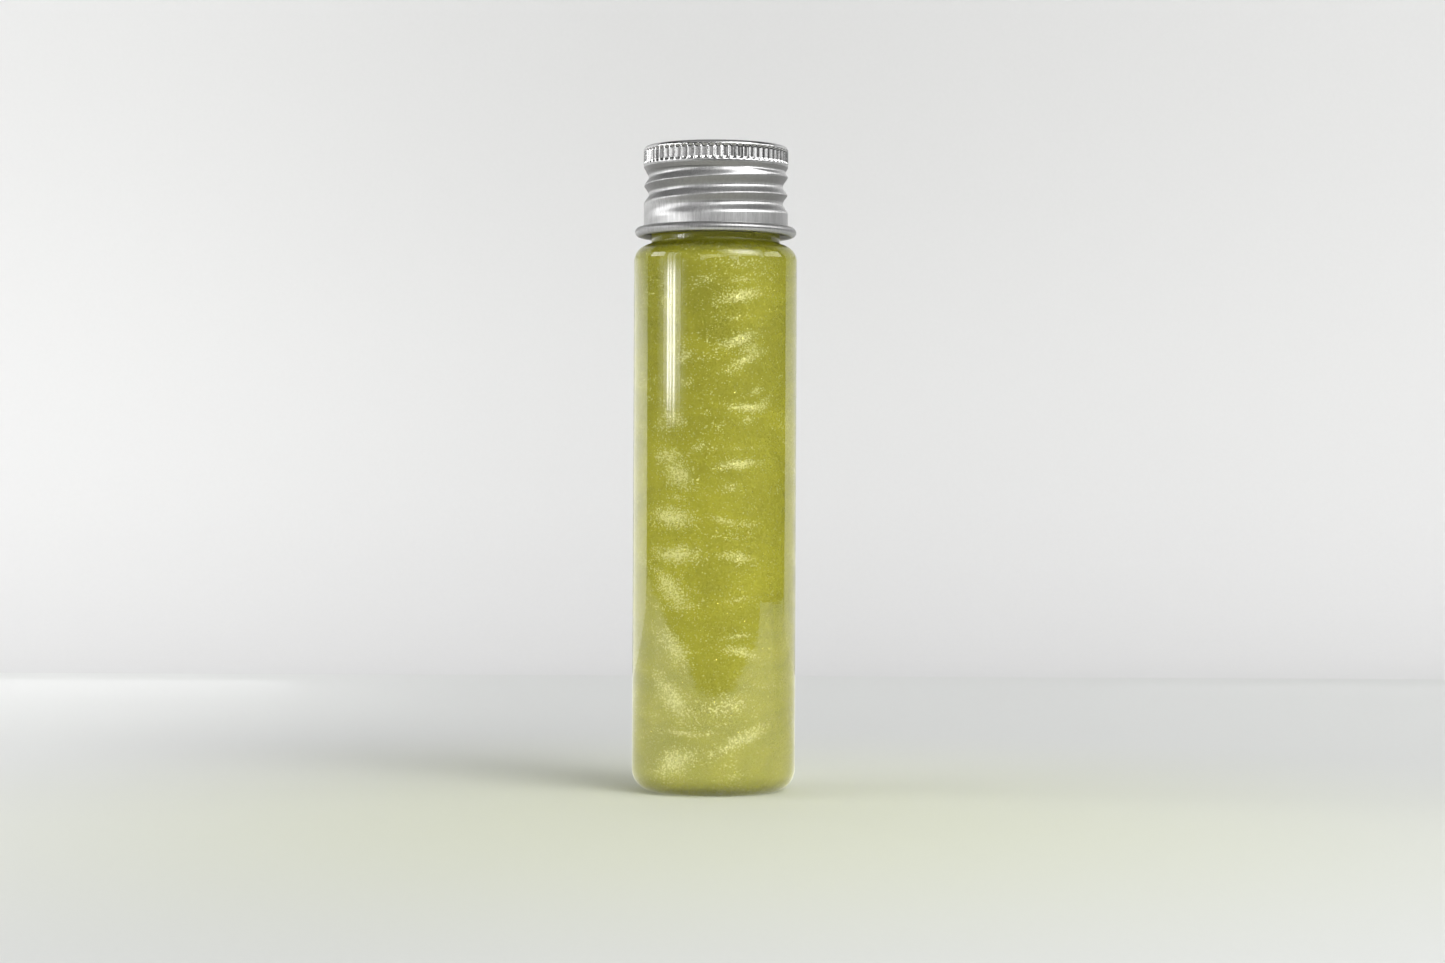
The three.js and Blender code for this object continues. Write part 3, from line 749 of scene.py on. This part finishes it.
def liquid_body():
    wetting = 0.015  # laps this far into the glass, so that no air shows between them
    meniscus = 0.6
    wet_radius = INNER_RADIUS + wetting
    profile = [
        (0, FLOOR - wetting),
        *stepped((1.5, FLOOR - wetting), (INNER_RADIUS - INNER_HEEL - 1, FLOOR - wetting), 1.2),
        *arc(INNER_RADIUS - INNER_HEEL, FLOOR + INNER_HEEL, INNER_HEEL + wetting, -90, 0, 10),
        *stepped((wet_radius, FLOOR + INNER_HEEL), (wet_radius, BODY_TOP), 0.32)[1:-1],
        *arc(INNER_RADIUS - INNER_SHOULDER, BODY_TOP, INNER_SHOULDER + wetting, 0, 82, 8),
        *arc(NECK_BORE + 0.5, SHOULDER_TOP - WALL + 0.9, 0.5 - wetting, 262, 180, 5),
        *stepped((NECK_BORE + wetting, SHOULDER_TOP), (NECK_BORE + wetting, LIQUID_TOP), 0.5),
        *[(NECK_BORE - 0.2 * i, LIQUID_TOP - meniscus * (1 - math.exp(-0.38 * i))) for i in range(1, 14)],
        *stepped((NECK_BORE * 0.6, LIQUID_TOP - meniscus), (1.5, LIQUID_TOP - meniscus), 1.5),
        (0, LIQUID_TOP - meniscus),
    ]
    made = turned("pearl_liquid", profile, 208)
    attribute = made.data.attributes.new("swirl", "FLOAT", "POINT")
    for vertex in made.data.vertices:
        x, y, height = vertex.co / MM
        if height > BODY_TOP + SWIRL_FADE:
            continue
        near_side = smooth((math.hypot(x, y) - wet_radius + SWIRL_FADE) / SWIRL_FADE)
        angle = math.atan2(x, -y)
        crowd = 0.0
        for turn, raised in SWIRL_COPIES:
            seen_from = (angle - math.radians(turn) + math.pi) % FULL_TURN - math.pi
            if abs(seen_from) < SWIRL_REACH:
                crowd = max(crowd, swirl_at(seen_from * wet_radius, height - raised))
        attribute.data[vertex.index].value = crowd * near_side
    return finish_piece(made, "vial", pearly_liquid(), "shimmer_liquid")


def mica_flakes(liquid):
    side = liquid.copy()
    side.data = liquid.data.copy()
    side.parent = None
    bpy.context.scene.collection.objects.link(side)
    foil = mica()
    made = made_by(flakes_tree(), "mica_flakes", side, Mica=foil)
    bpy.data.objects.remove(side)
    return finish_piece(made, "vial", foil)


def cap_shell():
    """One sheet: crown, rim, ring groove, threaded wall and curled hem, then back up inside."""
    inside = RIM_RADIUS - SHEET
    under = CAP_TOP - SHEET
    fine, plain = 512, 256
    start = RING_MIDDLE + 0.25
    rim = [
        (0, CAP_TOP),
        *stepped((2, CAP_TOP), (RIM_RADIUS - RIM_CORNER - 0.6, CAP_TOP), 3.0),
        *arc(RIM_RADIUS - RIM_CORNER, CAP_TOP - RIM_CORNER, RIM_CORNER, 90, 0, 9),
        *stepped((RIM_RADIUS, FLUTE_TOP - 0.25), (RIM_RADIUS, FLUTE_BOTTOM), 0.2),
        (RIM_RADIUS - 0.03, FLUTE_BOTTOM - 0.12),
        (SKIRT_RADIUS, FLUTE_BOTTOM - 0.28),
    ]
    wall = stepped((SKIRT_RADIUS, start + 0.5), (SKIRT_RADIUS, BEAD_MIDDLE[1] + 0.3), 0.13)
    curl_end = 180 + BEAD_TURN
    hem = [
        *arc(*BEAD_MIDDLE, BEAD_RADIUS - SHEET, 180, curl_end, 20),
        *arc(*BEAD_MIDDLE, BEAD_RADIUS, curl_end, 180, 26),
    ]
    back_wall = [(r - SHEET, z) for r, z in reversed(wall)][::2]
    back_rim = [
        (inside, FLUTE_BOTTOM - 0.2),
        *stepped((inside, FLUTE_BOTTOM), (inside, FLUTE_TOP - 0.25), 0.35),
        *arc(RIM_RADIUS - RIM_CORNER, CAP_TOP - RIM_CORNER, RIM_CORNER - SHEET, 0, 90, 5),
        (6, under),
        (0, under),
    ]
    rings = rim + wall + hem + back_wall + back_rim
    counts = (
        [fine] * len(rim) + [plain] * (len(wall) + len(hem) + len(back_wall)) + [fine] * len(back_rim)
    )
    plain_shell = turned("cap_blank", rings, counts)
    helix_height = (THREAD_TOP - PITCH * THREAD_START / FULL_TURN - PITCH / 2) * MM
    metal = satin_aluminium()
    made = made_by(rolled_cap_tree(), "cap_shell_rolled", plain_shell, Helix_height=helix_height, Metal=metal)
    bpy.data.objects.remove(plain_shell)
    return finish_piece(made, "cap", metal, "cap_shell")


def liner():
    """Foam disc with a film facing; the lip has pressed a shallow ring into both."""
    low, high = BACKING_LOW.z, BACKING_HIGH.z
    edge = 0.25
    lip_middle = (NECK_RADIUS + NECK_BORE) / 2

    def pressed(depth, reach):
        return lambda r: depth * math.exp(-(((r - lip_middle) / reach) ** 2))

    dent = pressed(0.06, 0.9)
    radii = [2 + 0.5 * i for i in range(round((LINER_RADIUS - 2.4) / 0.5))]
    backing = [
        (0, low),
        *[(r, low + dent(r)) for r in radii],
        *arc(LINER_RADIUS - 0.1, low + 0.1, 0.1, -90, 0, 4),
        *arc(LINER_RADIUS - edge, high - edge, edge, 0, 90, 6),
        *[(r, high - 0.4 * dent(r)) for r in reversed(radii)],
        (0, high),
    ]
    facing = [
        (0, FACING_LOW.z),
        *[(r, FACING_LOW.z + dent(r)) for r in radii],
        (LINER_RADIUS - 0.02, FACING_LOW.z),
        (LINER_RADIUS, FACING_LOW.z + 0.03),
        (LINER_RADIUS, FACING_HIGH.z - 0.03),
        (LINER_RADIUS - 0.02, FACING_HIGH.z),
        *[(r, FACING_HIGH.z + dent(r)) for r in reversed(radii)],
        (0, FACING_HIGH.z),
    ]
    finish_piece(turned("liner_foam", backing, 128), "liner", foam(), "liner_backing")
    finish_piece(turned("liner_film", facing, 128), "liner", film(), "liner_facing")


# ---- Stage, lights and camera ----


def paper(name, tone, glow, edge_glow):
    """Matte paper that glows a little, more towards its sides and foot, seen only from its front."""
    made, wires, surface, output, place = material(name)
    fibres = wires.noise(place, 900.0, 3.0)
    wires.feed(surface.inputs["Base Color"], wires.blend(fibres, grey(tone - 0.01), grey(tone + 0.01)))
    surface.inputs["Roughness"].default_value = 0.9
    surface.inputs["Specular IOR Level"].default_value = 0.1
    x, _, z = wires.split(place)
    left = wires.fade(x, 0.02, -0.26, 0.0, 0.50)
    right = wires.fade(x, 0.02, 0.3, 0.0, 0.15)
    low = wires.fade(z, 0.22, 0.04, 0.0, 0.4)
    more = wires.sum("ADD", wires.sum("MAXIMUM", left, right), low)
    more = wires.sum("SUBTRACT", more, wires.fade(x, 0.27, 0.42, 0.0, 1.2))
    surface.inputs["Emission Strength"].default_value = glow
    glowing = wires.blend(more, grey(1.0), grey(1.0 + edge_glow / glow))
    wires.feed(surface.inputs["Emission Color"], glowing)
    clear = wires.add("ShaderNodeBsdfTransparent")
    behind = wires.add("ShaderNodeNewGeometry").outputs["Backfacing"]
    seen = wires.add("ShaderNodeMixShader", {0: behind, 1: surface.outputs[0], 2: clear.outputs[0]})
    wires.feed(output.inputs["Surface"], seen.outputs[0])
    return made


def table_paper():
    """White card that glows, more towards the back and the left, with painted light through the liquid
    tinting it round the vial, and lifted in reflections by more glow, least beside the vial's foot, a painted
    contact shadow.
    """
    made, wires, surface, output, place = material("Table card")
    x, y, _ = wires.split(place)
    from_vial = wires.vector("LENGTH", wires.vector("SUBTRACT", place, (0, -0.05, 0)))
    glow_through = wires.fade(from_vial, 0.19, 0.02)
    fibres = wires.noise(place, 900.0, 3.0)
    card = wires.blend(fibres, (0.57, 0.58, 0.57, 1), (0.59, 0.60, 0.59, 1))
    wires.feed(surface.inputs["Base Color"], wires.blend(glow_through, card, (0.61, 0.63, 0.52, 1)))
    surface.inputs["Roughness"].default_value = 0.8
    surface.inputs["Specular IOR Level"].default_value = 0.15
    surface.inputs["Emission Strength"].default_value = 1.0
    # Painted light: the card glows more towards the back and to the left.
    lift = wires.sum("MULTIPLY", wires.fade(y, -0.02, 0.30), 0.11)
    lift = wires.sum("ADD", lift, wires.sum("MULTIPLY", wires.fade(x, -0.03, -0.2), 0.16))
    wires.feed(surface.inputs["Emission Color"], wires.blend(lift, grey(0.0), grey(1.0)))
    # Painted light and shadow: in reflections the card glows more, less towards the back and least beside the
    # vial's foot.
    beside_vial = wires.fade(wires.vector("LENGTH", place), 0.010, 0.021, 0.15, 0.9)
    strength = wires.sum("MULTIPLY", beside_vial, wires.fade(y, -0.03, 0.06, 1.0, 0.45))
    bright = wires.add("ShaderNodeEmission", {"Color": (1, 1, 0.95, 1), "Strength": strength})
    both = wires.add("ShaderNodeAddShader", {0: surface.outputs[0], 1: bright.outputs[0]})
    ray = wires.add("ShaderNodeLightPath").outputs
    shown = wires.add(
        "ShaderNodeMixShader", {0: ray["Is Camera Ray"], 1: both.outputs[0], 2: surface.outputs[0]}
    )
    inner = wires.add("ShaderNodeAttribute", attribute_name="inner").outputs["Fac"]
    hidden = wires.sum("MULTIPLY", ray["Is Glossy Ray"], wires.fade(inner, 0.0, 1.0, 1.0, 0.0))
    clear = wires.add("ShaderNodeBsdfTransparent")
    faded = wires.add("ShaderNodeMixShader", {0: hidden, 1: shown.outputs[0], 2: clear.outputs[0]})
    wires.feed(output.inputs["Surface"], faded.outputs[0])
    return made


def stage_mesh(name, corners, finish, faces=None):
    mesh = bpy.data.meshes.new(name)
    mesh.from_pydata(corners, [], faces or [list(range(len(corners)))])
    mesh.materials.append(finish)
    made = bpy.data.objects.new(name, mesh)
    bpy.context.scene.collection.objects.link(made)
    return made


# The table's front edge, as reflections show it, from left to right.
TABLE_FRONT = [
    (-1.4, 0.45), (-1.02, -0.118), (-0.68, -0.286), (-0.32, -0.40), (-0.136, -0.317),
    (0, -0.293), (0.128, -0.30), (0.333, -0.339), (0.595, -0.285), (0.84, -0.35),
]
WALL_BACK = 0.37
WALL_LEFT, WALL_RIGHT = -1.02, 0.72
WALL_HEIGHT = 0.55
PANEL_BACK = 0.29


def stage():
    table = table_paper()
    far, wide = 1.2, 2.5
    left, right = TABLE_FRONT[0], TABLE_FRONT[-1]
    # The outer row fades out towards the edge.
    edge = [(x, y, 0) for x, y in TABLE_FRONT]
    inner = [(0.72 * x, 0.72 * y, 0) for x, y in TABLE_FRONT]
    corners = [(*right, 0), (right[0], far, 0), (left[0], far, 0), (*left, 0)]
    count = len(edge)
    outer_row = [[i, i + 1, count + i + 1, count + i] for i in range(count - 1)]
    faces = outer_row + [list(range(count, 2 * count + 4))]
    top = stage_mesh("table_top", edge + inner + corners, table, faces)
    shares = top.data.attributes.new("inner", "FLOAT", "POINT")
    shares.data.foreach_set("value", [0.0] * count + [1.0] * (count + 4))
    aprons = {
        "apron_front": [(-wide, -wide, 0), (wide, -wide, 0), *((x, y, 0) for x, y in reversed(TABLE_FRONT))],
        "apron_right": [(*right, 0), (wide, -wide, 0), (wide, wide, 0), (right[0], far, 0)],
        "apron_left": [(-wide, wide, 0), (-wide, -wide, 0), (*left, 0), (left[0], far, 0)],
    }
    for name, corners in aprons.items():
        apron = stage_mesh(name, corners, table)
        apron.visible_glossy = False
        apron.visible_transmission = False
    wall = paper("Backdrop paper", 0.40, 0.18, 0.26)
    bend = 0.06
    rows = [(WALL_BACK - bend + bend * math.sin(a), 0.0004 + bend - bend * math.cos(a))
            for a in (math.pi / 2 * i / 12 for i in range(13))] + [(WALL_BACK, WALL_HEIGHT)]
    verts = [(x, y, z) for y, z in rows for x in (WALL_LEFT, WALL_RIGHT)]
    faces = [(2 * i, 2 * i + 1, 2 * i + 3, 2 * i + 2) for i in range(len(rows) - 1)]
    stage_mesh("backdrop", verts, wall, faces).data.shade_smooth()


def softbox(name, place, aim, width, height, brightness):
    """A flat light, equally bright from every side in front of it, that the camera doesn't see."""
    lamp = bpy.data.lights.new(name, "AREA")
    lamp.shape = "RECTANGLE"
    lamp.size, lamp.size_y = width, height
    lamp.energy = 4 * brightness * width * height
    made = bpy.data.objects.new(name, lamp)
    aim_at(made, place, aim)
    made.visible_camera = False
    bpy.context.scene.collection.objects.link(made)


def aim_at(made, place, aim):
    made.location = place
    made.rotation_euler = (Vector(aim) - Vector(place)).to_track_quat("-Z", "Y").to_euler()


def glowing_panel(name, place, aim, width, height, brightness):
    """A flat light. brightness(wires, across, up) gives its strength; both run from 0 to 1."""
    right, top = width / 2, height / 2
    glow = bpy.data.materials.new(name)
    glow.use_nodes = True
    wires = Wiring(glow.node_tree)
    glow.node_tree.nodes.clear()
    x, y, _ = wires.split(wires.add("ShaderNodeTexCoord").outputs["Object"])
    strength = brightness(wires, wires.scaled(x, -right, right), wires.scaled(y, -top, top))
    front = wires.sum("SUBTRACT", 1.0, wires.add("ShaderNodeNewGeometry").outputs["Backfacing"])
    light = wires.add("ShaderNodeEmission", {"Strength": wires.sum("MULTIPLY", strength, front)})
    wires.add("ShaderNodeOutputMaterial", {"Surface": light.outputs[0]})
    made = stage_mesh(name, [(-right, -top, 0), (-right, top, 0), (right, top, 0), (right, -top, 0)], glow)
    aim_at(made, place, aim)
    made.visible_camera = False
    return made


HALFWAY_UP = 0.06


def around(azimuth, elevation, distance, height=HALFWAY_UP):
    """A place seen from the vial: degrees round from the front towards +X, degrees up, and metres away."""
    a, e = math.radians(azimuth), math.radians(elevation)
    return (
        distance * math.cos(e) * math.sin(a),
        -distance * math.cos(e) * math.cos(a),
        height + distance * math.sin(e),
    )


def lights():
    def band(wires, value, start, end, soft):
        rise = wires.fade(value, start - soft, start + soft)
        return wires.sum("MULTIPLY", rise, wires.fade(value, end - soft, end + soft, 1.0, 0.0))

    def strip(wires, across, up):
        """Brightest in three upright tubes, fading out at its foot, dimmer above the shoulder's height."""
        tubes = wires.sum("MULTIPLY", band(wires, across, 0.24, 0.72, 0.04), 3.6)
        for start, end in ((0.26, 0.35), (0.40, 0.49), (0.57, 0.67)):
            tube = wires.sum("MULTIPLY", band(wires, across, start, end, 0.025), 11.5)
            tubes = wires.sum("ADD", tubes, tube)
        whole = wires.sum("ADD", tubes, wires.sum("MULTIPLY", band(wires, across, 0.03, 0.97, 0.03), 4.0))
        height = wires.sum("MULTIPLY", wires.fade(up, 0.0, 0.07), wires.fade(up, 0.18, 0.27, 1.0, 0.2))
        return wires.sum("MULTIPLY", whole, height)

    def halo(wires, across, up):
        above_foot = wires.fade(up, 0.0, 0.3, 0.0, 2.4)
        return wires.sum("MULTIPLY", band(wires, across, 0.22, 0.78, 0.22), above_foot)

    def box(wires, across, up):
        core = wires.sum("MULTIPLY", band(wires, across, 0.30, 0.75, 0.2), band(wires, up, 0.25, 0.75, 0.2))
        sides, ends = band(wires, across, 0.04, 0.96, 0.04), band(wires, up, 0.03, 0.97, 0.03)
        edges = wires.sum("MULTIPLY", sides, ends)
        return wires.sum("ADD", wires.sum("MULTIPLY", core, 9.0), wires.sum("MULTIPLY", edges, 1.9))

    foot, height = 0.074, 0.34
    x, y, _ = around(-63, 0, 0.60)
    glowing_panel("strip_light", (x, y, foot + height / 2), (0, 0, foot + height / 2), 0.32, height, strip)
    x, y, _ = around(-64, 0, 0.72)
    halo_middle = 0.125
    glowing_panel("strip_halo", (x, y, halo_middle), (0, 0, halo_middle), 0.78, 0.11, halo)
    glowing_panel("softbox", around(41.5, 31, 0.66, 0.09), (0, 0, 0.09), 0.82, 0.56, box)
    softbox("overhead", (0, -0.15, 1.0), (0, 0, 0), 1.2, 1.2, 0.28)
    softbox("right_fill", around(90, 24, 0.8), (0, 0, HALFWAY_UP), 0.5, 0.3, 2.4)
    softbox("left_fill", around(-90, 22, 0.8), (0, 0, HALFWAY_UP), 0.4, 0.25, 4.4)
    softbox("front_fill", around(6, 13, 0.8), (0, 0, 0.1), 0.8, 0.1, 1.8)

    def side(inner, outer):
        def brightness(wires, across, up):
            place = wires.add("ShaderNodeNewGeometry").outputs["Position"]
            from_middle = wires.sum("ABSOLUTE", wires.split(place)[0])
            spread = wires.scaled(from_middle, 0.10, 0.45, inner, outer)
            return wires.sum("MULTIPLY", spread, wires.fade(up, 0.6, 1.0, 1.0, 0.35))

        return brightness

    panel_height = 0.16
    for name, start, end, brightness in (
        ("left_panel", -0.80, -0.12, side(1.5, 2.3)),
        ("right_panel", 0.12, 0.57, side(1.0, 1.5)),
    ):
        x, z = (start + end) / 2, panel_height / 2
        panel = glowing_panel(name, (x, PANEL_BACK, z), (x, 0, z), end - start, panel_height, brightness)
        panel.visible_diffuse = False
        panel.visible_shadow = False
        panel.visible_transmission = False


def room():
    """Dark for what is reflected, pale where it is seen directly."""
    world = bpy.data.worlds.new("Room")
    bpy.context.scene.world = world
    world.use_nodes = True
    wires = Wiring(world.node_tree)
    world.node_tree.nodes.clear()
    seen = wires.add("ShaderNodeLightPath").outputs["Is Camera Ray"]
    reflected, direct = grey(0.045), grey(0.80)
    tone = wires.blend(seen, reflected, direct)
    glow = wires.add("ShaderNodeBackground", {"Color": tone})
    wires.add("ShaderNodeOutputWorld", {"Surface": glow.outputs[0]})


CAMERA_PLACE = Vector((0.00146, -0.540, 0.05678))
CAMERA_ROLL = math.radians(0.26)


def camera():
    lens = bpy.data.cameras.new("camera")
    lens.sensor_width = 36
    lens.lens = 73.07
    lens.clip_start = 0.01
    made = bpy.data.objects.new("camera", lens)
    made.location = CAMERA_PLACE
    upright = Matrix.Rotation(math.pi / 2, 3, "X") @ Matrix.Rotation(CAMERA_ROLL, 3, "Z")
    made.rotation_euler = upright.to_euler()
    bpy.context.scene.collection.objects.link(made)
    bpy.context.scene.camera = made


glass_vial()
mica_flakes(liquid_body())
cap_shell()
liner()
stage()
lights()
room()
camera()
bpy.context.scene.view_settings.view_transform = "Standard"
